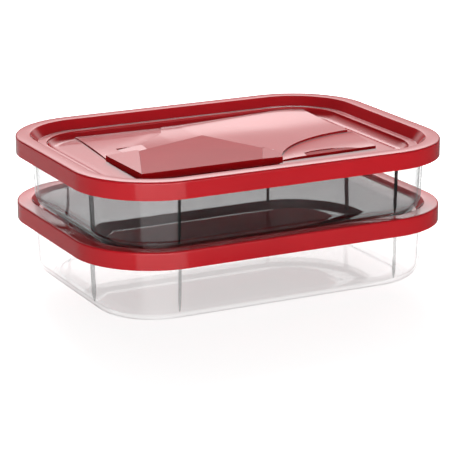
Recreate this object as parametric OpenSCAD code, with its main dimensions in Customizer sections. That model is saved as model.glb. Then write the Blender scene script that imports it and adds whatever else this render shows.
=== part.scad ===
// Stacking lunch box: two shallow clear trays, each closed by a push-on lid.
// The foot of the upper tray stands in the recess of the lid below it.
// Origin: centre of the lower foot. X along the length, Y to the back, Z up.

/* [Outline] */
// Length over the lids
box_l = 250; // [236:1:290]
// Width over the lids
box_w = 189; // [176:1:224]
// Radius of the lid's corners, seen from above
corner_r = 52; // [46:1:60]

/* [Lid] */
// Wall thickness of a lid
lid_wall = 1.6; // [1.2:0.1:2]
// Height of the skirt that hides the tray's rim
skirt_h = 11.2; // [10:0.1:14]
// Width of the flat rim round the recess
rim_w = 9.4; // [8.8:0.1:11]
// Depth of the recess, from the rim down to the ledge
recess_d = 5.6; // [4.6:0.1:6.4]
// How far the recess wall leans in over its depth
recess_lean = 4.8; // [3.6:0.1:6]
// Width of the ledge at the foot of the recess wall
ledge_w = 6; // [4.5:0.1:7]
// Height of the small upright step inside the ledge
step_h = 1.2; // [0.8:0.1:1.6]
// Height of the slope below the step
slope_h = 3.1; // [2.4:0.1:3.6]
// Width of that slope
slope_run = 2.6; // [2:0.1:3.4]
// Radius of the lid's outer top edge
edge_r = 1.3; // [0.6:0.1:1.5]
// How far the snap bead stands in from the skirt
bead_h = 0.5; // [0.3:0.1:0.8]

/* [Lid relief] */
// Flat strip between the left end of the panel and the fold
fold_side = 20.9; // [19:0.1:26]
// Flat strip between the front of the panel and the fold
fold_front = 22.8; // [21:0.1:26]
// Height of the fold along its front edge
fold_h = 4.4; // [4.1:0.1:4.6]
// Angle at which the fold's flat face falls to the back
fold_fall = 2.6; // [2:0.1:2.8]
// Height of the fold's left face at its back end
fold_end_h = 3.8; // [3:0.1:4.2]
// Plan radius of the crescent edge
crescent_r = 110; // [104:1:118]
// Radius of the hollow sweep behind the fold
sweep_r = 900; // [820:10:1000]
// Radius of the raised leaf at the left
leaf_r = 600; // [540:10:700]
// Height of the leaf at its crest
leaf_h = 0.9; // [0.6:0.1:1.2]
// Height of the low tongue in front of the crescent
tongue_h = 0.4; // [0.3:0.1:0.8]
// Height of the dome on the tongue
dome_h = 2; // [1.4:0.1:2.4]
// Radius of that dome
dome_r = 110; // [90:5:130]

/* [Tray] */
// Height of a tray, from its foot to the top of its rim
tray_h = 47; // [42:0.5:60]
// Wall thickness of a tray
tray_wall = 1.6; // [1.2:0.1:2]
// How far the wall leans in from the rim down to the bottom curve
draft = 1.4; // [0.8:0.1:2]
// Radius of the curve between wall and foot
bottom_r = 11; // [9:0.5:12]
// Depth of the turned-down edge of the rim
hook_h = 3.4; // [2.8:0.1:4]
// Width of the low foot that the tray stands on
foot_w = 3; // [2:0.1:5]
// How far the floor is lifted clear of the foot
floor_lift = 3.1; // [2.6:0.1:3.6]
// Radius between the floor and the inside of the wall
floor_r = 4; // [3:0.1:5]
// Thickness of the upright fins near the corners
fin_t = 0.9; // [0.8:0.1:1.4]
// How far a fin stands in from the wall
fin_w = 2.6; // [2:0.1:3]
// How far some of the fins stand past the start of the corner's curve
fin_over = 5; // [3:0.5:6]

/* [Fits] */
// Clearance between the rim of a tray and the skirt and bead of its lid
rim_gap = 0.4; // [0.3:0.05:0.6]
// Clearance between the inside of a tray and the recess wall of its lid
plug_gap = 1.4; // [1:0.1:1.8]
// Clearance of an upper tray over the ledge of the lid below
seat_gap = 0.3; // [0.25:0.05:0.4]

/* [Hidden] */
$fn = 96;

// Levels of a lid, from the top of its rim down, and distances in from its outer edge
ledge_in = rim_w + recess_lean;
step_in = ledge_in + ledge_w;
step_run = 0.3;
panel_in = step_in + step_run + slope_run;
panel_d = recess_d + step_h + slope_h;
panel_z = -panel_d;

function unit(v) = v / norm(v);
function turned(v, a) = [v.x * cos(a) - v.y * sin(a), v.x * sin(a) + v.y * cos(a)];
function left_of(v) = [-v.y, v.x];

// Corner a-b-c replaced by points on an arc of radius r
function arc_corner(a, b, c, r, n = 8) =
    let (u = unit(a - b), v = unit(c - b), half = acos(u * v) / 2)
    let (hub = b + unit(u + v) * r / sin(half), start = b + u * r / tan(half) - hub)
    let (sweep = -sign(cross(u, v)) * (180 - 2 * half))
    [for (k = [0:n]) hub + turned(start, sweep * k / n)];

// Path shifted to its left by t, with mitred corners
function shifted(path, t) = [
    for (i = [0:len(path) - 1])
        let (before = left_of(unit(i > 0 ? path[i] - path[i - 1] : path[1] - path[0])))
        let (after = left_of(unit(i < len(path) - 1 ? path[i + 1] - path[i] : path[i] - path[i - 1])))
        path[i] + (before + after) * t / (1 + before * after)
];

// Closed outline drawn in by t
function drawn_in(outline, t) = [
    for (i = [0:len(outline) - 1])
        let (n = len(outline), here = outline[i])
        let (before = left_of(unit(here - outline[(i + n - 1) % n])))
        let (after = left_of(unit(outline[(i + 1) % n] - here)))
        here + (before + after) * t / (1 + before * after)
];

function reversed(list) = [for (i = [len(list) - 1:-1:0]) list[i]];

// Wall section between a path and its shifted copy; x counts in from the lid's edge
module wall_section(face, back) {
    polygon([for (p = concat(face, reversed(back))) [corner_r - p.x, p.y]]);
}

// Carries a section round the rounded rectangle: four straight runs and four corners
module round_frame() {
    for (side = [0:3]) {
        across = side % 2 == 0 ? box_l : box_w;
        along = side % 2 == 0 ? box_w : box_l;
        rotate([0, 0, 90 * side])
            translate([across / 2 - corner_r, along / 2 - corner_r, 0]) {
                rotate([90, 0, 0]) linear_extrude(along - 2 * corner_r) children();
                rotate_extrude(angle = 90) children();
            }
    }
}

// Rounded plate, drawn in from the lid's outline, standing on z = 0
module round_plate(inset, h) {
    r = corner_r - inset;
    half_l = box_l / 2 - corner_r;
    half_w = box_w / 2 - corner_r;
    translate([-half_l - r, -half_w, 0]) cube([2 * (half_l + r), 2 * half_w, h]);
    translate([-half_l, -half_w - r, 0]) cube([2 * half_l, 2 * (half_w + r), h]);
    for (x = [-half_l, half_l])
        for (y = [-half_w, half_w])
            translate([x, y, 0]) cylinder(r = r, h = h);
}

// ---- Lid ----

// Top face of a lid: distance in from the outer edge, height from the rim
lid_path = [
    [0, -skirt_h],
    [0, 0],
    [rim_w, 0],
    [ledge_in, -recess_d],
    [step_in, -recess_d],
    [step_in + step_run, -recess_d - step_h],
    [panel_in, panel_z],
    [panel_in + 4, panel_z]
];

lid_face = concat(
    [lid_path[0]],
    arc_corner(lid_path[0], lid_path[1], lid_path[2], edge_r, 5),
    arc_corner(lid_path[1], lid_path[2], lid_path[3], 1, 3),
    [for (i = [3:len(lid_path) - 1]) lid_path[i]]
);

lid_back = shifted(lid_path, -lid_wall);

// Tray section: distances in from the lid's outer edge, heights from the foot
lid_top = tray_h + lid_wall;
rim_in = lid_wall + bead_h + rim_gap;
flare_in = lid_back[2].x - plug_gap;
wall_in = lid_back[3].x - plug_gap;
wall_top = lid_top + lid_back[3].y - plug_gap / 2;
curve_in = wall_in + draft;
foot_in = curve_in + bottom_r - tray_wall;
lift_in = foot_in + foot_w;
lift_run = 1.6;
floor_z = tray_wall + floor_lift;
floor_in = lift_in + lift_run + 2;

// Where an upper tray comes to rest: its bottom curve over the inner end of the ledge
curve_rise = bottom_r - sqrt(pow(bottom_r, 2) - pow(max(0, foot_in - step_in), 2));
nest_z = -recess_d - curve_rise + seat_gap;
tier_pitch = lid_top + nest_z;

module lid_section() {
    wall_section(lid_face, lid_back);
    // Snap bead under the rim of the tray
    bead_z = -lid_wall - hook_h - rim_gap - bead_h;
    reach = 1.2 * bead_h;
    wall_section(
        [[lid_wall - 0.3, bead_z + reach], [lid_wall, bead_z + reach], [lid_wall + bead_h, bead_z]],
        [[lid_wall - 0.3, bead_z - reach], [lid_wall, bead_z - reach]]
    );
}

// Block below a plane through at, which rises by slope.x and slope.y
module below_plane(at, slope) {
    reach = 2 * box_l;
    n = norm([slope.x, slope.y, 1]);
    translate(at)
        rotate([asin(slope.y / n), atan2(-slope.x, 1), 0])
            translate([-reach / 2, -reach / 2, -reach / 8]) cube([reach, reach, reach / 8]);
}

// Relief points in plan, counted from the fold's front left corner
fold_corner = [-box_l / 2 + panel_in + fold_side, -box_w / 2 + panel_in + fold_front];
fold_end = [0, 56.5];
fold_knee = [26, 64.5];
fold_apex = [83, 88.5];
fold_turn = [97, 29.5];
fold_tip = [100, 15.5];
fold_crease = [81, 0];
crescent_hub = [191.7, -52.8];
crescent_lap = 0.4;
crescent_start = [
    crescent_hub.x - sqrt(pow(crescent_r, 2) - pow(crescent_hub.y, 2)) + crescent_lap,
    0
];
leaf_slit = [[15, 60], [16, 78], [29, 79.6]];
far = box_l;

fold_slope = -tan(fold_fall);

// Upright prism over an outline of the relief, rooted in the panel
module on_panel(outline, h) {
    translate([0, 0, -lid_wall / 2]) linear_extrude(lid_wall / 2 + h) polygon(outline);
}

// Flat folded block: a wide face falling to the back, a left facet and a right facet
module fold(inset) {
    outline = [[0, 0], crescent_start, fold_tip, fold_turn, fold_apex, fold_knee, fold_end];
    top = fold_h - inset;
    left_rise = (fold_end_h - fold_h) / fold_end.y;
    left_fall = (fold_slope - left_rise) * fold_knee.y / fold_knee.x;
    tip_slope = [-0.05, -0.02];
    intersection() {
        translate([0, 0, -2 * inset]) on_panel(drawn_in(outline, inset), 2 * inset + top);
        union() {
            below_plane([0, 0, top], [0, fold_slope]);
            below_plane([0, 0, top], [left_fall, left_rise]);
        }
        below_plane([fold_crease.x, fold_crease.y, top], tip_slope);
    }
}

// Hollow sweep behind the fold, cut off along the crescent and fading out to the right
module sweep_wave() {
    outline = [[95, 0], [far, 0], [far, far], [76, far], [67, 118.6], [61, 106.6], [33, 79.6], [31, 56.6]];
    low = [0, 86.6, 0.25];
    fade = [141, 0, 2.2];
    difference() {
        intersection() {
            on_panel(outline, fold_h);
            below_plane(fade, [-0.065, 0]);
        }
        translate([0, low.y, low.z + sweep_r])
            rotate([0, 90, 0]) cylinder(r = sweep_r, h = 4 * far, center = true, $fn = 720);
        translate([crescent_hub.x, crescent_hub.y, -lid_wall]) cylinder(r = crescent_r, h = 20);
    }
}

// Low leaf at the left with its crest across the lid, and the gusset in front of it
module leaf() {
    outline = concat([[0, 57]], leaf_slit, [[51, 79.6], [67, 118.6], [71, far], [5, far], [5, 110]]);
    gusset = concat(reversed(leaf_slit), [fold_knee, [33, 66], [35, 79.6]]);
    crest = [16, 80.6];
    intersection() {
        on_panel(outline, 2 * leaf_h);
        translate([crest.x, crest.y, leaf_h - leaf_r])
            rotate([0, 90.7, 0]) cylinder(r = leaf_r, h = 4 * far, center = true, $fn = 720);
    }
    intersection() {
        on_panel(gusset, 2 * leaf_h);
        below_plane([leaf_slit[1].x, leaf_slit[1].y, 0.1], [0.05, 0]);
    }
}

// Tongue in front of the crescent, with a shallow dome along its front edge
module tongue() {
    start = [crescent_start.x - 2, 0.6];
    outline = [start, [129, 2.3], [171, 10.2], [175, 54.6], [141, 48.6], [fold_turn.x + 1, 14]];
    dome = [132, 9.6];
    intersection() {
        on_panel(outline, dome_h);
        union() {
            on_panel(outline, tongue_h);
            translate([dome.x, dome.y, dome_h - dome_r]) sphere(r = dome_r, $fn = 240);
        }
    }
}

module relief() {
    fold(0);
    sweep_wave();
    leaf();
    tongue();
}

module lid() {
    difference() {
        union() {
            round_frame() lid_section();
            translate([0, 0, panel_z - lid_wall]) round_plate(panel_in + 1, lid_wall);
            intersection() {
                translate([0, 0, panel_z - lid_wall / 2])
                    round_plate(panel_in - slope_run / 2, fold_h + lid_wall / 2);
                translate([fold_corner.x, fold_corner.y, panel_z]) relief();
            }
        }
        translate([fold_corner.x, fold_corner.y, panel_z]) fold(lid_wall);
    }
}

// ---- Tray ----

wall_path = [
    [rim_in, tray_h - hook_h],
    [rim_in, tray_h],
    [flare_in, tray_h],
    [wall_in, wall_top]
];

// Inside of the tray, down the wall to a floor that is flat from side to side
tray_inside = concat(
    wall_path,
    arc_corner([wall_in, wall_top], [curve_in, floor_z], [floor_in, floor_z], floor_r, 6),
    [[floor_in, floor_z]]
);

// Outside of the tray, round the bottom curve and under the foot to the lifted floor
tray_outside = shifted(
    concat(
        wall_path,
        arc_corner(
            [wall_in, wall_top],
            [curve_in, tray_wall],
            [lift_in, tray_wall],
            bottom_r - tray_wall,
            10
        ),
        [[lift_in, tray_wall], [lift_in + lift_run, floor_z], [floor_in, floor_z]]
    ),
    -tray_wall
);

// One upright fin, rooted in the leaning wall; reach is the wall's distance from the middle
module fin(reach, turn) {
    top = tray_h - panel_d - 2;
    foot = bottom_r;
    lean = draft * (top - foot) / wall_top;
    root = reach + tray_wall / 2;
    rotate([90, 0, turn])
        linear_extrude(fin_t, center = true)
            polygon([
                [root - lean, foot],
                [root, top],
                [reach - fin_w + 1, top],
                [reach - fin_w, top - 2],
                [reach - fin_w - lean, foot],
                [reach - 0.6 * fin_w - lean, foot / 2]
            ]);
}

// Fins on the inside of the wall: two on each long wall and one on each side wall,
// in places that a half turn of the tray brings back to one another
module fins() {
    half_l = box_l / 2 - corner_r;
    half_w = box_w / 2 - corner_r;
    for (half_turn = [0, 180])
        rotate([0, 0, half_turn]) {
            translate([half_l, 0, 0]) fin(box_w / 2 - wall_in, 90);
            translate([-half_l - fin_over, 0, 0]) fin(box_w / 2 - wall_in, 90);
            translate([0, half_w - fin_over, 0]) fin(box_l / 2 - wall_in, 0);
        }
}

module tray() {
    round_frame() wall_section(tray_inside, tray_outside);
    translate([0, 0, floor_lift]) round_plate(floor_in - 1, tray_wall);
    fins();
}

module lower_tray() {
    color([0.93, 0.94, 0.95, 0.35]) tray();
}

module lower_lid() {
    color([0.78, 0.1, 0.13]) translate([0, 0, lid_top]) lid();
}

module upper_tray() {
    color([0.93, 0.94, 0.95, 0.35]) translate([0, 0, tier_pitch]) tray();
}

module upper_lid() {
    color([0.78, 0.1, 0.13]) translate([0, 0, tier_pitch + lid_top]) lid();
}

lower_tray();
lower_lid();
upper_tray();
upper_lid();
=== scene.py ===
import math

import bmesh
import bpy
from mathutils import Matrix, Vector
from mathutils.geometry import delaunay_2d_cdt


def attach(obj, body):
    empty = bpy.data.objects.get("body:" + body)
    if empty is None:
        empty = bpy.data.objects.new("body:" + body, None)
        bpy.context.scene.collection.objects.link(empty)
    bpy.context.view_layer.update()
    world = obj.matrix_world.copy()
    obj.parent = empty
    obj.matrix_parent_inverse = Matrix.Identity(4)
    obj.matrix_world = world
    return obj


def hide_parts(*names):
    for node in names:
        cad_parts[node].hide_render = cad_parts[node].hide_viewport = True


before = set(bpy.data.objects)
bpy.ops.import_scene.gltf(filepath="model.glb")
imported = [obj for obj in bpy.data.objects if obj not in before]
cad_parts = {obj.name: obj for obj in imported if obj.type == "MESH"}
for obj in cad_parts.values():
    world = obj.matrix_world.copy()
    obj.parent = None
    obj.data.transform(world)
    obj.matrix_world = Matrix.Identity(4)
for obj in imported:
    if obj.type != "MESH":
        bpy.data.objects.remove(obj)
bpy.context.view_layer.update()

# ---------------------------------------------------------------------------
# Lower tray. A shallow bowl moulded in one shot from clear polypropylene: a
# turned-down rim, walls with a little draft, a wide curve down to the foot and
# six thin upright fins on the inside, near the corners.

# Sizes are in millimetres. A name in _IN is a distance in from the lid's outer edge.
MM = 0.001
LENGTH, WIDTH, CORNER = 250.0, 189.0, 52.0
WALL = 1.6
TRAY_H = 47.0
RIM_IN, HOOK_H = 2.5, 3.4
FLARE_IN, WALL_IN, WALL_TOP, CURVE_IN = 7.26, 12.06, 40.7, 13.46
FOOT_R, FOOT_W = 11.0, 3.0
FLOOR_LIFT, FLOOR_R, LIFT_RUN, FLOOR_EDGE = 3.1, 4.0, 1.6, 2.0
FOOT_IN = CURVE_IN + FOOT_R - WALL
LIFT_IN = FOOT_IN + FOOT_W
FLOOR_IN, FLOOR_Z = LIFT_IN + LIFT_RUN + FLOOR_EDGE, WALL + FLOOR_LIFT
FIN_W, FIN_T, FIN_OVER, FIN_DROP, FIN_SINK = 2.6, 0.9, 5.0, 11.9, 0.1
ARC_STEPS, TRAY_CORNER_STEPS = 9, 32


class Wire:
    """A socket of a node tree, on which sums, products and further nodes are written."""

    def __init__(self, tree, socket=None):
        self.tree = tree
        self.socket = socket

    def node(self, kind, settings=None, sockets=None, output=0):
        """A new node: first its settings or its ramp's stops, then the values or links of its sockets."""
        made = self.tree.nodes.new(kind)
        for name, value in (settings or {}).items():
            if name == "stops":
                ramp = made.color_ramp
                while len(ramp.elements) < len(value):
                    ramp.elements.new(0.5)
                for stop, (place, tone) in zip(ramp.elements, value):
                    stop.position = place
                    stop.color = (tone, tone, tone, 1) if isinstance(tone, float) else (*tone, 1)
            else:
                setattr(made, name, value)
        for name, value in (sockets or {}).items():
            slot = made.inputs[name]
            if isinstance(value, Wire):
                self.tree.links.new(value.socket, slot)
            else:
                slot.default_value = value
        return Wire(self.tree, made.outputs[output] if made.outputs else None)

    def parts(self):
        """The x, y and z of a vector."""
        apart = self.node("ShaderNodeSeparateXYZ", {}, {0: self})
        return [Wire(self.tree, output) for output in apart.socket.node.outputs]

    def maths(self, operation, *values):
        return self.node("ShaderNodeMath", {"operation": operation}, dict(enumerate(values)))

    def __add__(self, other):
        return self.maths("ADD", self, other)

    __radd__ = __add__

    def __sub__(self, other):
        return self.maths("SUBTRACT", self, other)

    def __rsub__(self, other):
        return self.maths("SUBTRACT", other, self)

    def __mul__(self, other):
        return self.maths("MULTIPLY", self, other)

    __rmul__ = __mul__

    def __truediv__(self, other):
        return self.maths("DIVIDE", self, other)

    def __pow__(self, other):
        return self.maths("POWER", self, other)

    def step(self, low, high):
        """0 at low and past it, 1 at high and past it, smooth between."""
        settings = {"interpolation_type": "SMOOTHSTEP"}
        return self.node("ShaderNodeMapRange", settings, {"Value": self, 1: low, 2: high})


def rounded(points, radii, steps):
    """A path whose inner corners are replaced by arcs of the given radii."""
    path = [Vector(p) for p in points]
    nearly_straight = math.radians(89.5)
    made = [path[0]]
    for before, here, after, r in zip(path, path[1:], path[2:], radii):
        u, v = (before - here).normalized(), (after - here).normalized()
        half = u.angle(v) / 2
        if r <= 0 or half > nearly_straight:
            made.append(here)
            continue
        hub = here + (u + v).normalized() * r / math.sin(half)
        start, end = here + u * r / math.tan(half) - hub, here + v * r / math.tan(half) - hub
        turn = start.angle_signed(end)
        for k in range(steps + 1):
            a = -turn * k / steps
            made.append(hub + Vector((start.x * math.cos(a) - start.y * math.sin(a),
                                      start.x * math.sin(a) + start.y * math.cos(a))))
    made.append(path[-1])
    return made


def shifted(points, t, ring=False):
    """A path, or a closed ring, moved to its right by t; corners are mitred, very sharp ones less."""
    path = [Vector(p) for p in points]
    least = 0.4
    made = []
    for i, here in enumerate(path):
        to_here, onward = here - path[i - 1], path[(i + 1) % len(path)] - here
        if not ring and i == 0:
            to_here = onward
        if not ring and i == len(path) - 1:
            onward = to_here
        a, b = to_here.normalized(), onward.normalized()
        na, nb = Vector((a.y, -a.x)), Vector((b.y, -b.x))
        made.append(here + (na + nb) * t / max(1 + na.dot(nb), least))
    return made


def sweep_tree():
    """Geometry Nodes: carries a section round a rounded rectangle and sets fins on its walls."""
    tree = bpy.data.node_groups.new("moulded_wall", "GeometryNodeTree")
    given = [("Section", "Geometry"), ("Length", "Float"), ("Width", "Float"), ("Corner radius", "Float"),
             ("Corner steps", "Int"), ("Fin", "Object"), ("Fin reach", "Float"), ("Fin over", "Float"),
             ("Plastic", "Material"), ("Fin plastic", "Material")]
    for name, kind in given:
        tree.interface.new_socket(name, in_out="INPUT", socket_type="NodeSocket" + kind)
    tree.interface.new_socket("Wall", in_out="OUTPUT", socket_type="NodeSocketGeometry")
    entry = tree.nodes.new("NodeGroupInput")
    value = {name: Wire(tree, entry.outputs[name]) for name, _ in given}
    at = Wire(tree)
    edge = at.node("GeometryNodeCurvePrimitiveQuadrilateral", {"mode": "RECTANGLE"},
                   {"Width": value["Length"], "Height": value["Width"]})
    path = at.node("GeometryNodeFilletCurve", {"mode": "POLY"},
                   {"Curve": edge, "Count": value["Corner steps"], "Radius": value["Corner radius"]})
    section = at.node("GeometryNodeMeshToCurve", {}, {"Mesh": value["Section"]})
    wall = at.node("GeometryNodeCurveToMesh", {}, {"Curve": path, "Profile Curve": section})
    wall = at.node("GeometryNodeSetMaterial", {}, {"Geometry": wall, "Material": value["Plastic"]})
    fin = at.node("GeometryNodeObjectInfo", {}, {"Object": value["Fin"]}, "Geometry")
    x, y, _ = at.node("GeometryNodeInputPosition").parts()
    half_length, half_width = value["Length"] * 0.5, value["Width"] * 0.5
    run_x, run_y = half_length - value["Corner radius"], half_width - value["Corner radius"]
    reach_x, reach_y = half_length - value["Fin reach"], half_width - value["Fin reach"]
    over = value["Fin over"]
    parts = at.node("GeometryNodeJoinGeometry")
    joint = parts.socket.node.inputs[0]
    for end_x, end_y, aim in ((run_x, reach_y, (0, y)), (run_x + over, reach_y * -1, (0, y)),
                              (reach_x, run_y - over, (x, 0))):
        end = at.node("ShaderNodeCombineXYZ", {}, {0: end_x, 1: end_y})
        start = at.node("ShaderNodeCombineXYZ", {}, {0: end_x * -1, 1: end_y * -1})
        pair = at.node("GeometryNodeMeshLine", {"mode": "END_POINTS"},
                       {"Count": 2, "Start Location": start, "Offset": end})
        out = at.node("ShaderNodeCombineXYZ", {}, dict(enumerate(aim)))
        turn = at.node("FunctionNodeAlignRotationToVector", {"axis": "X", "pivot_axis": "Z"}, {"Vector": out})
        fins = at.node("GeometryNodeInstanceOnPoints", {},
                       {"Points": pair, "Instance": fin, "Rotation": turn})
        fins = at.node("GeometryNodeRealizeInstances", {}, {"Geometry": fins})
        fins = at.node("GeometryNodeSetMaterial", {}, {"Geometry": fins, "Material": value["Fin plastic"]})
        tree.links.new(fins.socket, joint)
    tree.links.new(wall.socket, joint)
    done = parts.node("GeometryNodeRealizeInstances", {}, {"Geometry": parts})
    tree.links.new(done.socket, tree.nodes.new("NodeGroupOutput").inputs[0])
    return tree


WALL_SWEEP = sweep_tree()


def swept(name, section, corner_steps, **given):
    """A plain mesh: the section, as (distance in, height) in millimetres, carried round the box's plan."""
    flat = bpy.data.meshes.new(name)
    flat.from_pydata([(-p.x * MM, -p.y * MM, 0) for p in section],
                     [(i, i + 1) for i in range(len(section) - 1)], [])
    maker = bpy.data.objects.new(name, flat)
    bpy.context.scene.collection.objects.link(maker)
    rule = maker.modifiers.new("rule", "NODES")
    rule.node_group = WALL_SWEEP
    inputs = {"Length": LENGTH * MM, "Width": WIDTH * MM, "Corner radius": CORNER * MM,
              "Corner steps": corner_steps, **given}
    for item in WALL_SWEEP.interface.items_tree:
        if item.name in inputs:
            rule[item.identifier] = inputs[item.name]
    graph = bpy.context.evaluated_depsgraph_get()
    made = bpy.data.meshes.new_from_object(maker.evaluated_get(graph))
    bpy.data.objects.remove(maker)
    return made


def closed(mesh, fills=()):
    """A swept wall made a shell with its faces outwards. Each open inner loop, the lower one first, gets
    the surface that its maker in fills returns, or one flat face where there are no makers."""
    same_place, same_edge = 1e-7, 2e-6
    shell = bmesh.new()
    shell.from_mesh(mesh)
    bmesh.ops.remove_doubles(shell, verts=shell.verts, dist=same_place)
    open_edges = {e: None for e in shell.edges if e.is_boundary}
    loops = []
    while open_edges:
        first, _ = open_edges.popitem()
        loop = [first.verts[0], first.verts[1]]
        while True:
            onward = next((e for e in loop[-1].link_edges if e in open_edges), None)
            if onward is None:
                break
            del open_edges[onward]
            loop.append(onward.other_vert(loop[-1]))
        loops.append(loop[:-1])
    loops.sort(key=lambda loop: loop[0].co.z)
    for place, loop in enumerate(loops):
        if not fills:
            shell.faces.new(loop)
            continue
        points, faces = fills[place]([v.co.copy() for v in loop])
        made = [shell.verts.new(p) for p in points]
        for face in faces:
            shell.faces.new([made[i] for i in face])
    bmesh.ops.remove_doubles(shell, verts=shell.verts, dist=same_edge)
    bmesh.ops.recalc_face_normals(shell, faces=shell.faces)
    shell.to_mesh(mesh)
    shell.free()
    return mesh


def finished(name, mesh, body):
    """A finished piece at the origin. It rides on its body and stands for the solid of the same name."""
    mesh.name = name
    mesh.polygons.foreach_set("use_smooth", [True] * len(mesh.polygons))
    mesh.set_sharp_from_angle(angle=math.radians(32))
    piece = bpy.data.objects.new(name, mesh)
    bpy.context.scene.collection.objects.link(piece)
    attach(piece, body)
    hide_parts(body)
    return piece


def clear_plastic(name, through, gloss, painted_shade=0.0):
    """Clear polypropylene. through is the share of each colour that passes one face of a wall, gloss how
    much a slanting wall mirrors, and the last argument how much painted shade covers a level face seen from a
    low angle: a dark red layer that stands for the shaded lid seen through the floor."""
    head_on, grazing = 0.04, 0.9
    material = bpy.data.materials.new(name)
    material.use_nodes = True
    tree = material.node_tree
    tree.nodes.clear()
    at = Wire(tree)
    place = at.node("ShaderNodeTexCoord", output="Object")
    haze = at.node("ShaderNodeTexNoise", {}, {"Vector": place, "Scale": 38.0, "Detail": 4.0})
    grain = at.node("ShaderNodeTexNoise", {}, {"Vector": place, "Scale": 900.0, "Detail": 2.0})
    flow = at.node("ShaderNodeBump", {}, {"Height": haze + grain * 0.1, "Strength": 0.02, "Distance": 0.001})
    facing = at.node("ShaderNodeLayerWeight", {}, {"Blend": 0.5}, "Facing")
    skin = at.node("ShaderNodeBsdfPrincipled", {}, {
        "Base Color": (0.96, 0.96, 0.97, 1), "Metallic": 1.0, "Roughness": haze * 0.03 + 0.005,
        "Normal": flow})
    body = at.node("ShaderNodeBsdfTransparent", {}, {"Color": (*through, 1)})
    # Painted shade: a dark red layer over level faces seen from a low angle, standing for the shaded lid seen
    # through the floor.
    if painted_shade:
        _, _, upright = at.node("ShaderNodeTexCoord", output="Normal").parts()
        level = (upright * upright).step(0.5, 0.9)
        painted_lid_shade = at.node("ShaderNodeBsdfPrincipled", {}, {
            "Base Color": (0.075, 0.004, 0.007, 1), "Roughness": 0.5, "Specular IOR Level": 0.0})
        body = at.node("ShaderNodeMixShader", {}, {
            0: facing.step(0.5, 0.75) * level * painted_shade, 1: body, 2: painted_lid_shade})
    mirror = (facing ** 5.0) * gloss + (facing ** 14.0) * (grazing - gloss) + head_on
    both = at.node("ShaderNodeMixShader", {}, {0: mirror, 1: body, 2: skin})
    at.node("ShaderNodeOutputMaterial", {}, {"Surface": both})
    return material


wall_path = [(RIM_IN, TRAY_H - HOOK_H), (RIM_IN, TRAY_H), (FLARE_IN, TRAY_H), (WALL_IN, WALL_TOP)]
tray_inside = wall_path + [(CURVE_IN, FLOOR_Z), (FLOOR_IN, FLOOR_Z)]
tray_outside = wall_path + [(CURVE_IN, WALL), (LIFT_IN, WALL), (LIFT_IN + LIFT_RUN, FLOOR_Z),
                            (FLOOR_IN, FLOOR_Z)]
tray_section = rounded(tray_inside, [1.2, 2.4, 1.6, FLOOR_R], ARC_STEPS)[::-1]
tray_section += rounded(shifted(tray_outside, WALL), [0.2, 1.2, 3.0, FOOT_R, 1.0, 1.0], ARC_STEPS)

# A fin from the side: out from the wall, and up. Its inner top corner is nipped off.
fin_top, fin_foot = TRAY_H - FIN_DROP, FOOT_R
fin_lean = (CURVE_IN - WALL_IN) * (fin_top - fin_foot) / WALL_TOP
fin_side = [(FIN_SINK - fin_lean, fin_foot), (FIN_SINK, fin_top), (1 - FIN_W, fin_top),
            (0.3 - FIN_W, fin_top - 0.6), (-FIN_W, fin_top - 2), (-FIN_W - fin_lean, fin_foot),
            (-0.6 * FIN_W - fin_lean, fin_foot / 2)]
fin_mesh = bpy.data.meshes.new("fin")
fin_corners = [(x * MM, y * MM, z * MM) for y in (-FIN_T / 2, FIN_T / 2) for x, z in fin_side]
n = len(fin_side)
fin_mesh.from_pydata(fin_corners, [], [tuple(range(n)), tuple(range(2 * n - 1, n - 1, -1))]
                     + [(i, i + n, (i + 1) % n + n, (i + 1) % n) for i in range(n)])
fin = bpy.data.objects.new("fin", fin_mesh)

tray_mesh = closed(swept("lower_tray_bowl", tray_section, TRAY_CORNER_STEPS, **{
    "Fin": fin, "Fin reach": WALL_IN * MM, "Fin over": FIN_OVER * MM,
    "Plastic": clear_plastic("clear_plastic", (0.97, 0.965, 0.965), 0.22),
    "Fin plastic": clear_plastic("clear_fins", (0.84, 0.84, 0.84), 0.4)}))
finished("lower_tray_bowl", tray_mesh.copy(), "lower_tray")

# ---------------------------------------------------------------------------
# Lower lid. Glossy red polypropylene, one moulding: a skirt that snaps over the
# tray's rim, a flat rim, a stepped recess for the foot of the next tray and a
# sculpted panel of folds and sweeps in its middle.

# A name in _D is a depth under the rim's top. The plate is the flat middle of the underside.
SKIRT_H, RIM_W = 11.2, 9.4
LEDGE_IN, LEDGE_D, LEDGE_FALL = 14.2, 5.6, 0.45
STEP_IN, SLOPE_IN, SLOPE_D, SLOPE_RUN = 20.2, 20.5, 6.8, 3.8
PANEL_IN, PANEL_D = 23.1, 9.9
UNDER_IN, PLATE_IN, PLATE_T = 25.2, 26.0, 0.8
BEAD_DROP, BEAD_OUT, BEAD_H = 4.3, 0.5, 0.6
LID_TOP = TRAY_H + WALL
LID_CORNER_STEPS, HIDDEN_ARC_STEPS, HIDDEN_CORNER_STEPS = 40, 4, 24

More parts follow.
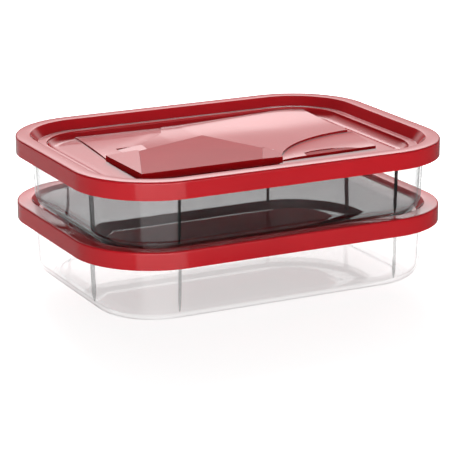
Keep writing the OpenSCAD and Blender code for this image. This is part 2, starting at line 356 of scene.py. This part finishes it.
# lid_face is the skin that shows, from the slope out to the skirt's foot. The wall's back is drawn from
# lid_plan, whose ledge is level.
lid_face = [(SLOPE_IN, -SLOPE_D), (STEP_IN, -LEDGE_D), (LEDGE_IN, -LEDGE_D - LEDGE_FALL), (RIM_W, 0), (0, 0),
            (0, -SKIRT_H)]
lid_plan = [(UNDER_IN, -PANEL_D), (PANEL_IN, -PANEL_D), (SLOPE_IN, -SLOPE_D), (STEP_IN, -LEDGE_D),
            (LEDGE_IN, -LEDGE_D), (RIM_W, 0), (0, 0), (0, -SKIRT_H)]
lid_back = shifted(lid_plan, -WALL)
bead_z = -WALL - BEAD_DROP
bead = [(WALL, bead_z - BEAD_H), (WALL + BEAD_OUT, bead_z), (WALL, bead_z + BEAD_H)]
lid_section = rounded(lid_face, [0.8, 0.4, 1.0, 1.3], ARC_STEPS)
lid_section += rounded([lid_back[-1]] + bead + lid_back[-2::-1],
                       [0, 0.2, 0, 0.6, 1.0, 0.6, 0.4, 0.4, 0.4], HIDDEN_ARC_STEPS)

# The panel's forms lie on their own axes, u to the right and v to the back, which start beside the fold's
# front left corner. The fold is creased into three faces. The sweep curves round behind it, and the leaf
# rises from the sweep at the left. The tongue lies inside the crescent at the right, with a scoop in its
# front.
FOLD_X, FOLD_Y, FOLD_H = -81.0, -48.6, 4.4
FACE_FALL = math.tan(math.radians(2.6))
LEFT_RISE, LEFT_FALL = 0.021, (FOLD_H - 3.8) / 56.5
RIGHT_RUN_OFF, RIGHT_FALL = 0.02, 0.012
CRESCENT_U, CRESCENT_V, CRESCENT_R = 171.3, -32.9, 83.0
CRESCENT_FROM, CRESCENT_TURN, CRESCENT_STEPS = 25.3, 64.7, 40
TONGUE_U, TONGUE_V, TONGUE_H = 94.0, 2.6, 1.9

left_crease = [(-1.5, 0), (22.6, 57.3)]
right_crease = [(81, 0), (97, 29.5)]
fold_outline = [left_crease[0], (95.6, 0), (100, 15.5), right_crease[1], (83, 88.5), (26, 64.5),
                left_crease[1], (-1.2, 55.1)]
crescent = []
for k in range(CRESCENT_STEPS + 1):
    a = math.radians(CRESCENT_FROM + CRESCENT_TURN * k / CRESCENT_STEPS)
    crescent.append((CRESCENT_U - CRESCENT_R * math.cos(a), CRESCENT_V + CRESCENT_R * math.sin(a)))
sweep_outline = crescent + [(175, 140), (76, 140), (67, 118.6), (61, 106.6), (33, 79.6), (31, 56.6),
                            (80, 30), (90, 4)]
leaf_outline = [(0, 57), (15, 60), (16, 78), (29, 79.6), (51, 79.6), (67, 118.6), (71, 140), (5, 140),
                (5, 110)]
gusset_outline = [(29, 79.6), (16, 78), (15, 60), (26, 64.5), (33, 66), (35, 79.6)]
tongue_outline = [(94, 2.6), (166.5, 5.5), (174, 52), (150, 51), (110, 28), (97, 8)]
scoop_outline = [(114.5, 2.0), (116, 9.6), (122, 11.8), (130, 12.6), (138, 12.3), (145, 10.4),
                 (150, 7.8), (156, 4.0)]


def share(value, whole):
    """The value as a share of the whole, kept between 0 and 1."""
    return max(0.0, min(1.0, value / whole))


def eased(a, b, width, lift):
    """The higher of two heights, eased from one to the other over the width and lifted between them."""
    mix = share(a - b + width, 2 * width)
    return b + (a - b) * mix + lift * mix * (1 - mix)


def left_of(line, u, v):
    (start_u, start_v), (end_u, end_v) = line
    return (u - start_u) * (end_v - start_v) < (v - start_v) * (end_u - start_u)


def depth_in(outline, u, v):
    """Distance to the outline, positive inside."""
    inside, near = False, math.inf
    for (ax, ay), (bx, by) in zip(outline, outline[1:] + outline[:1]):
        ex, ey = bx - ax, by - ay
        t = share((u - ax) * ex + (v - ay) * ey, ex * ex + ey * ey)
        near = min(near, (u - ax - t * ex) ** 2 + (v - ay - t * ey) ** 2)
        if (ay > v) != (by > v) and u < ax + (v - ay) * ex / ey:
            inside = not inside
    return math.sqrt(near) * (1 if inside else -1)


def fold_top(u, v):
    """Three flat faces that meet in the two creases."""
    if left_of(left_crease, u, v):
        return FOLD_H + LEFT_RISE * u - LEFT_FALL * v
    if left_of(right_crease, u, v):
        return FOLD_H - FACE_FALL * v
    return FOLD_H - RIGHT_RUN_OFF * (u - right_crease[0][0]) - RIGHT_FALL * v


def sweep_top(u, v):
    """A shallow valley that runs to the right, turns forward there and climbs at both ends."""
    middle_v, floor, flank, bend = 86.6, 0.25, 0.027, 15
    across = v - middle_v + 8 * share(u - 95, 40)
    valley = floor + flank * (math.hypot(across, bend) - bend)
    return valley + 0.02 * max(0.0, u - 80) + 0.5 * share(58 - u, 25)


def leaf_top(u, v):
    """An arched leaf whose right edge runs out smoothly into the sweep."""
    crest_v, crest_h, join = 89, 1.15, 0.4
    arch = (v - crest_v) ** 2 / 2100 * (1 - 0.6 * share(u - 20, 30))
    own = crest_h - arch - 0.0122 * (u - 16)
    from_edge = max(0.0, 0.698 * (v - 79.6) - 0.716 * (u - 29))
    joined = sweep_top(u, v) + 0.05 * from_edge
    return -eased(-own, -joined, join, join)


def gusset_top(u, v):
    """A small ramp, up to the right, between the leaf and the fold."""
    return 0.07 * (u - 16)


def tongue_top(u, v):
    """A low dome that dips towards the crescent, with the flat scoop cut in its front."""
    back = v - TONGUE_V - 0.04 * (u - TONGUE_U)
    if depth_in(scoop_outline, u, v) > 0:
        return TONGUE_H - 0.065 * back
    near = min(back, 15.0)
    dome = TONGUE_H + 0.03 * near - 0.0016 * near ** 2 - 0.018 * (back - near)
    from_crescent = max(0.0, CRESCENT_R - math.hypot(u - CRESCENT_U, v - CRESCENT_V))
    dip = 1.0 - 0.6 * share(u - 110, 60)
    return dome - dip * math.exp(-from_crescent / 6)


# Each form: its outline, its top and the radius of its upper edge
RELIEF = [(fold_outline, fold_top, 0.15), (sweep_outline, sweep_top, 0.15), (leaf_outline, leaf_top, 0.15),
          (gusset_outline, gusset_top, 0.05), (tongue_outline, tongue_top, 0.15)]


def relief_heights(u, v):
    """The height of each form over the panel, 0 outside it, with its upper edge rounded."""
    for outline, top, edge_r in RELIEF:
        d = depth_in(outline, u, v)
        if d < 0:
            yield 0.0
            continue
        h = top(u, v)
        r = min(edge_r, 0.3 * h)
        yield h - (r - math.sqrt(max(r * r - (r - d) ** 2, 0)) if d < r else 0)


def past_straights(x, y):
    """How far a place lies past the ends of the straight sides, along and across."""
    return abs(x) - LENGTH / 2 + CORNER, abs(y) - WIDTH / 2 + CORNER


def inset_of(x, y):
    """Distance in from the lid's outer edge."""
    dx, dy = past_straights(x, y)
    if dx > 0 and dy > 0:
        return CORNER - math.hypot(dx, dy)
    return CORNER - max(dx, dy)


def lid_floor(x, y):
    """Height of the recess slope, the panel and its relief; the slope's foot is widest at the two ends."""
    foot_at_side, foot_at_end = 0.25, 1.6
    raised = -PANEL_D + max(0.0, *relief_heights(x - FOLD_X, y - FOLD_Y))
    slope = -SLOPE_D - (inset_of(x, y) - SLOPE_IN) * (PANEL_D - SLOPE_D) / SLOPE_RUN
    to_end, to_side = (max(d, 0.0) for d in past_straights(x, y))
    foot = foot_at_side + (foot_at_end - foot_at_side) * to_end / max(math.hypot(to_end, to_side), 1.0)
    return eased(slope, raised, 2 * foot, foot)


def along(path, ring=True):
    """The path's points, with more between them where they are further apart than the pace."""
    pace = 1.5
    made = []
    for a, b in zip(path, path[1:] + (path[:1] if ring else [])):
        count = max(1, math.ceil((b - a).length / pace))
        made += [a + (b - a) * k / count for k in range(count)]
    return made


def patch(loop, lines, height, spacing, edge_in):
    """A triangulated surface inside loop (metres) that keeps the given lines (millimetres) as edges."""
    row_share, margin, longest, off_x, off_y = 0.866, 0.6, 3.5, 0.3, 0.2
    points = [Vector((p.x, p.y)) / MM for p in loop]
    edges = [(i, (i + 1) % len(points)) for i in range(len(points))]
    rim = len(points)
    for line in lines:
        for a, b in zip(line, line[1:] + line[:1]):
            if inset_of(*a) > edge_in and inset_of(*b) > edge_in and (b - a).length < longest:
                edges.append((len(points), len(points) + 1))
                points += [a, b]
    for j in range(int(WIDTH / spacing / row_share)):
        for i in range(int(LENGTH / spacing)):
            at = Vector(((i + 0.5 * (j % 2)) * spacing - LENGTH / 2 + off_x,
                         j * spacing * row_share - WIDTH / 2 + off_y))
            if inset_of(*at) > edge_in + margin:
                points.append(at)
    flat, _, faces, origin, _, _ = delaunay_2d_cdt(points, edges, [], 0, 1e-4)
    raised = []
    for p, source in zip(flat, origin):
        on_rim = [i for i in source if i < rim]
        raised.append(loop[on_rim[0]] if on_rim else Vector((p.x * MM, p.y * MM, height(p.x, p.y) * MM)))
    return raised, [f for f in faces if len(f) == 3]


def round_line(inset):
    """A line round the lid's plan, at the given distance in."""
    steps = 24
    made = []
    for k in range(4 * steps):
        a = 2 * math.pi * (k + 0.5) / (4 * steps)
        sx, sy = (1 if math.cos(a) > 0 else -1), (1 if math.sin(a) > 0 else -1)
        made.append(Vector((sx * (LENGTH / 2 - CORNER) + (CORNER - inset) * math.cos(a),
                            sy * (WIDTH / 2 - CORNER) + (CORNER - inset) * math.sin(a))))
    return made


def on_lid(path):
    """A path of the relief, moved to its place on the lid."""
    return [p + Vector((FOLD_X, FOLD_Y)) for p in path]


def relief_lines():
    """The lines that the panel's surface keeps: round the slope, beside each form's edge where no other
    form covers it, and beside the creases and the scoop."""
    clear = 0.03
    lines = [along(round_line(a)) for a in (21.1, 21.7, 22.2, 22.6, 23.0, 23.5, 24.1)]
    for order, (outline, top, _) in enumerate(RELIEF):
        for d in (-0.3, -0.06, 0.03, 0.1, 0.25, 0.5):
            shown = []
            for p in on_lid(along(shifted(outline, -d, ring=True))):
                u, v = p.x - FOLD_X, p.y - FOLD_Y
                heights = list(relief_heights(u, v))
                own = heights[order] if d > 0 else top(u, v)
                shown.append(None if max(heights) > own + clear else p)
            run = []
            for p in shown + [None]:
                if p is not None:
                    run.append(p)
                    continue
                if len(run) > 1:
                    lines.append(run)
                run = []
    beside_creases = [((-1.4, 0.39), (22.5, 57.2)), ((-1.29, 0.35), (22.62, 57.1))]
    beside_creases += [[(u + d, v) for u, v in right_crease] for d in (-0.05, 0.05)]
    for a, b in beside_creases:
        lines.append(on_lid(along([Vector(a), Vector(b)], ring=False)))
    for d in (-0.05, 0.05):
        lines.append(on_lid(along(shifted(scoop_outline, -d, ring=True))))
    return lines


def lid_top_patch(loop):
    return patch(loop, relief_lines(), lid_floor, 2.4, SLOPE_IN + 0.3)


def underside_patch(edge_in, lift):
    """A maker of the panel's underside, hollow under the fold and raised by lift where the plate lies."""
    hollow = shifted(fold_outline, -WALL, ring=True)

    def height(x, y):
        u, v = x - FOLD_X, y - FOLD_Y
        deep = max(0.0, fold_top(u, v) - WALL) if depth_in(hollow, u, v) > 0 else 0
        return -PANEL_D - WALL + deep + (lift if inset_of(x, y) > PLATE_IN else 0)

    lines = [on_lid(along(shifted(fold_outline, -WALL - d, ring=True))) for d in (-0.05, 0.05)]
    lines += [along(round_line(PLATE_IN + d)) for d in (-0.02, 0.02)]
    return lambda loop: patch(loop, lines, height, 6.0, edge_in + 0.3)


def red_plastic():
    """Red polypropylene with a polished face, whose colour varies a little with the melt's flow."""
    material = bpy.data.materials.new("red_plastic")
    material.use_nodes = True
    tree = material.node_tree
    tree.nodes.clear()
    at = Wire(tree)
    place = at.node("ShaderNodeTexCoord", output="Object")
    flow = at.node("ShaderNodeTexNoise", {}, {
        "Vector": place, "Scale": 14.0, "Detail": 3.0, "Distortion": 0.6})
    grain = at.node("ShaderNodeTexNoise", {}, {"Vector": place, "Scale": 1400.0, "Detail": 2.0})
    smudge = at.node("ShaderNodeTexNoise", {}, {"Vector": place, "Scale": 45.0, "Detail": 5.0})
    shades = [(0.3, (0.50, 0.010, 0.016)), (0.7, (0.56, 0.013, 0.020))]
    colour = at.node("ShaderNodeValToRGB", {"stops": shades}, {"Fac": flow})
    relief = at.node("ShaderNodeBump", {}, {
        "Height": flow * 0.6 + grain * 0.02, "Strength": 0.04, "Distance": 0.001})
    gloss = at.node("ShaderNodeBsdfPrincipled", {}, {
        "Base Color": colour, "Roughness": smudge * 0.08 + 0.05, "IOR": 1.5, "Normal": relief})
    at.node("ShaderNodeOutputMaterial", {}, {"Surface": gloss})
    return material


RED = red_plastic()


def red_moulding(name, section, corner_steps, fills=()):
    wall = swept(name, section, corner_steps, **{"Plastic": RED, "Fin plastic": RED})
    return closed(wall, fills)


lid_mesh = red_moulding("lower_lid_cover", lid_section, LID_CORNER_STEPS,
                        [underside_patch(UNDER_IN, PLATE_T), lid_top_patch])
plate_section = [Vector((PLATE_IN, -PANEL_D - WALL + PLATE_T)), Vector((PLATE_IN, -PANEL_D - WALL))]
plate_mesh = red_moulding("lower_lid_underside", plate_section, HIDDEN_CORNER_STEPS,
                          [underside_patch(PLATE_IN, 0), underside_patch(PLATE_IN, PLATE_T)])

# Cores lie inside the cover's wall, between two depths under its skin, and belong to the underside. The
# clear trays mirror them in place of the cover. The ledge's core stops at CORE_BACK_Y, short of the back.
CORE_SKIN, CORE_DEEP, CORE_TOP, CORE_BACK_Y = 0.4, 1.2, 4.6, 30.0
core_foot = -SKIRT_H + 0.1
ledge_core = shifted(lid_plan, -CORE_SKIN)[1:5] + shifted(lid_plan, -CORE_DEEP)[4:0:-1]
skirt_core = [Vector(p) for p in ((CORE_SKIN, core_foot), (CORE_SKIN, -CORE_TOP),
                                  (CORE_DEEP, -CORE_TOP), (CORE_DEEP, core_foot))]
joined = bmesh.new()
joined.from_mesh(red_moulding("core", ledge_core + ledge_core[:1], HIDDEN_CORNER_STEPS))
bmesh.ops.bisect_plane(joined, geom=joined.verts[:] + joined.edges[:] + joined.faces[:],
                       plane_co=(0, CORE_BACK_Y * MM, 0), plane_no=(0, 1, 0), clear_outer=True)
bmesh.ops.holes_fill(joined, edges=[e for e in joined.edges if e.is_boundary])
joined.from_mesh(red_moulding("core", skirt_core + skirt_core[:1], HIDDEN_CORNER_STEPS))
joined.from_mesh(plate_mesh)
joined.to_mesh(plate_mesh)
joined.free()
for mesh in (lid_mesh, plate_mesh):
    mesh.materials.clear()
    mesh.materials.append(RED)
    mesh.polygons.foreach_set("material_index", [0] * len(mesh.polygons))


def lid_at(name, body, rise):
    """A lid's cover and underside, raised to their place; mirrored light passes the cover by."""
    for mesh, part in ((lid_mesh, "cover"), (plate_mesh, "underside")):
        raised = mesh.copy()
        raised.transform(Matrix.Translation((0, 0, rise * MM)))
        piece = finished(f"{name}_{part}", raised, body)
        piece.visible_glossy = part != "cover"


lid_at("lower_lid", "lower_lid", LID_TOP)

# ---------------------------------------------------------------------------
# Upper tray. A second moulding in clear polypropylene, from the same tool as
# the lower tray; its foot stands in the recess of the lower lid.

PITCH = 42.9725
upper_tray = tray_mesh.copy()
upper_tray.transform(Matrix.Translation((0, 0, PITCH * MM)))
# The upper tray's floor gets painted shade for the shaded lower lid seen through it.
stacked = {"clear_plastic": clear_plastic("stacked_clear_plastic_painted_shade", (0.97, 0.97, 0.97), 0.85, 0.85),
           # The upper fins pass far less light than the lower ones. This is painted shade for the shade under
           # the upper lid.
           "clear_fins": clear_plastic("stacked_fins_painted_shade", (0.2, 0.17, 0.17), 0.3)}
for place, plastic in enumerate(upper_tray.materials):
    if plastic:
        upper_tray.materials[place] = stacked[plastic.name.split(".")[0]]
finished("upper_tray_bowl", upper_tray, "upper_tray")

# ---------------------------------------------------------------------------
# Upper lid. The same moulding as the lower lid, in the same red polypropylene,
# pressed onto the upper tray.

lid_at("upper_lid", "upper_lid", PITCH + LID_TOP)

# ---------------------------------------------------------------------------
# Studio: a white card under the box, soft light all round, two soft lamps and
# the camera.

scene = bpy.context.scene
scene.view_settings.view_transform = "Standard"

# The camera's axis is turned by yaw and pitch off its line to the middle of the box's top
FRAME_PX, FOCAL_PX, SENSOR = 458, 2109.377, 36
azimuth, elevation, roll = math.radians(-26.866), math.radians(13.442), math.radians(-0.153)
yaw, pitch = math.radians(0.049), math.radians(-2.579)
stand = Vector((-0.5964, -1.1773, 0.40697))
level = math.cos(elevation)
back = Vector((math.sin(azimuth) * level, -math.cos(azimuth) * level, math.sin(elevation)))
right = (-back).cross(Vector((0, 0, 1))).normalized()
up = right.cross(-back)
aim = -back * math.cos(yaw) + right * math.sin(yaw)
side = right * math.cos(yaw) + back * math.sin(yaw)
look = aim * math.cos(pitch) + up * math.sin(pitch)
top = up * math.cos(pitch) - aim * math.sin(pitch)
across = side * math.cos(roll) + top * math.sin(roll)
upward = top * math.cos(roll) - side * math.sin(roll)
lens = bpy.data.cameras.new("camera")
lens.sensor_width = SENSOR
lens.lens = FOCAL_PX * SENSOR / FRAME_PX
lens.clip_start = 0.05
camera = bpy.data.objects.new("camera", lens)
scene.collection.objects.link(camera)
camera.matrix_world = Matrix.Translation(stand) @ Matrix((across, upward, -look)).transposed().to_4x4()
scene.camera = camera

# Mirrored light sees the card darker, most so to the right. It also sees a bright board on the card, a
# wedge that opens from its tip to the front.
CARD = 6
TIP_X, TIP_Y = -0.073, -0.0425
floor_mesh = bpy.data.meshes.new("floor")
floor_mesh.from_pydata([(-CARD, -CARD, 0), (CARD, -CARD, 0), (CARD, CARD, 0), (-CARD, CARD, 0)], [],
                       [(0, 1, 2, 3)])
floor = bpy.data.objects.new("floor", floor_mesh)
scene.collection.objects.link(floor)
card = bpy.data.materials.new("white_card")
card.use_nodes = True
card.node_tree.nodes.clear()
at = Wire(card.node_tree)
place = at.node("ShaderNodeTexCoord", output="Object")
fibre = at.node("ShaderNodeTexNoise", {}, {"Vector": place, "Scale": 60.0})
spot_x, spot_y, _ = place.parts()
off_x, off_y = spot_x - TIP_X, spot_y - TIP_Y
board = (off_x * 0.682 - off_y * 0.731).step(0.0, 0.02) * (off_x * -0.94 - off_y * 0.342).step(0.0, 0.03)
seen = at.node("ShaderNodeLightPath", output="Is Camera Ray")
mirrored = at.node("ShaderNodeLightPath", output="Is Glossy Ray")
paper = at.node("ShaderNodeBsdfPrincipled", {}, {
    "Base Color": 0.8 - mirrored * (0.35 + spot_x.step(-0.05, 0.3) * 0.3),
    "Roughness": fibre * 0.1 + 0.85,
    "Emission Color": seen * 0.8 + mirrored * board * 0.9,
    "Emission Strength": 1.0})
at.node("ShaderNodeOutputMaterial", {}, {"Surface": paper})
floor_mesh.materials.append(card)

# The room glows behind the box, most in a narrow core straight ahead, and low down in front of it. A
# glow's ramp runs from the horizon to overhead. The camera sees plain white.
back_stops = [(0.0, 0.02), (0.10, 0.03), (0.143, 0.055), (0.19, 0.14), (0.232, 0.225), (0.29, 0.34),
              (0.36, 0.37), (0.5, 0.30), (0.7, 0.10), (1.0, 0.03)]
core_stops = [(0.235, 0.0), (0.29, 0.16), (0.36, 0.23), (0.48, 0.0)]
front_stops = [(0.0, 0.95), (0.1, 0.9), (0.3, 0.05), (1.0, 0.0)]
studio = bpy.data.worlds.new("studio")
scene.world = studio
studio.use_nodes = True
studio.node_tree.nodes.clear()
at = Wire(studio.node_tree)
x, y, z = at.node("ShaderNodeTexCoord", output="Generated").parts()
flat = (1.0001 - z * z) ** 0.5
ahead = (x * 0.452 + y * 0.892) / flat
before = (x * 0.26 + y * 0.966) / flat
back_glow = at.node("ShaderNodeValToRGB", {"stops": back_stops}, {"Fac": z}) * 5
core_glow = at.node("ShaderNodeValToRGB", {"stops": core_stops}, {"Fac": z}) * 5
front_glow = at.node("ShaderNodeValToRGB", {"stops": front_stops}, {"Fac": z}) * 7.4
glow = (back_glow * ahead.step(0.72, 0.95) + core_glow * ahead.step(0.984, 0.998)
        + front_glow * before.step(-0.64, -0.94) + 0.06)
white = at.node("ShaderNodeLightPath", output="Is Camera Ray")
light = at.node("ShaderNodeBackground", {}, {
    "Color": (1, 1, 1, 1), "Strength": glow * (1 - white) + white})
at.node("ShaderNodeOutputWorld", {}, {"Surface": light})


def soft_lamp(name, size, energy, place, shines_from):
    """A round lamp that shines from the given direction and isn't mirrored in the plastic."""
    disk = bpy.data.lights.new(name, "AREA")
    disk.shape = "DISK"
    disk.size = size
    disk.energy = energy
    lamp = bpy.data.objects.new(name, disk)
    scene.collection.objects.link(lamp)
    lamp.location = place
    lamp.rotation_euler = shines_from.to_track_quat("Z", "Y").to_euler()
    lamp.visible_glossy = False
    return lamp


key_from = Vector((0.33, 0.8, 0.5)).normalized()
soft_lamp("key", 1.0, 43, key_from * 1.7, key_from)
fill = soft_lamp("fill", 0.3, 1.0, (-0.45, -0.62, 0.085), Vector((-0.45, -0.62, 0)))
fill.visible_camera = False
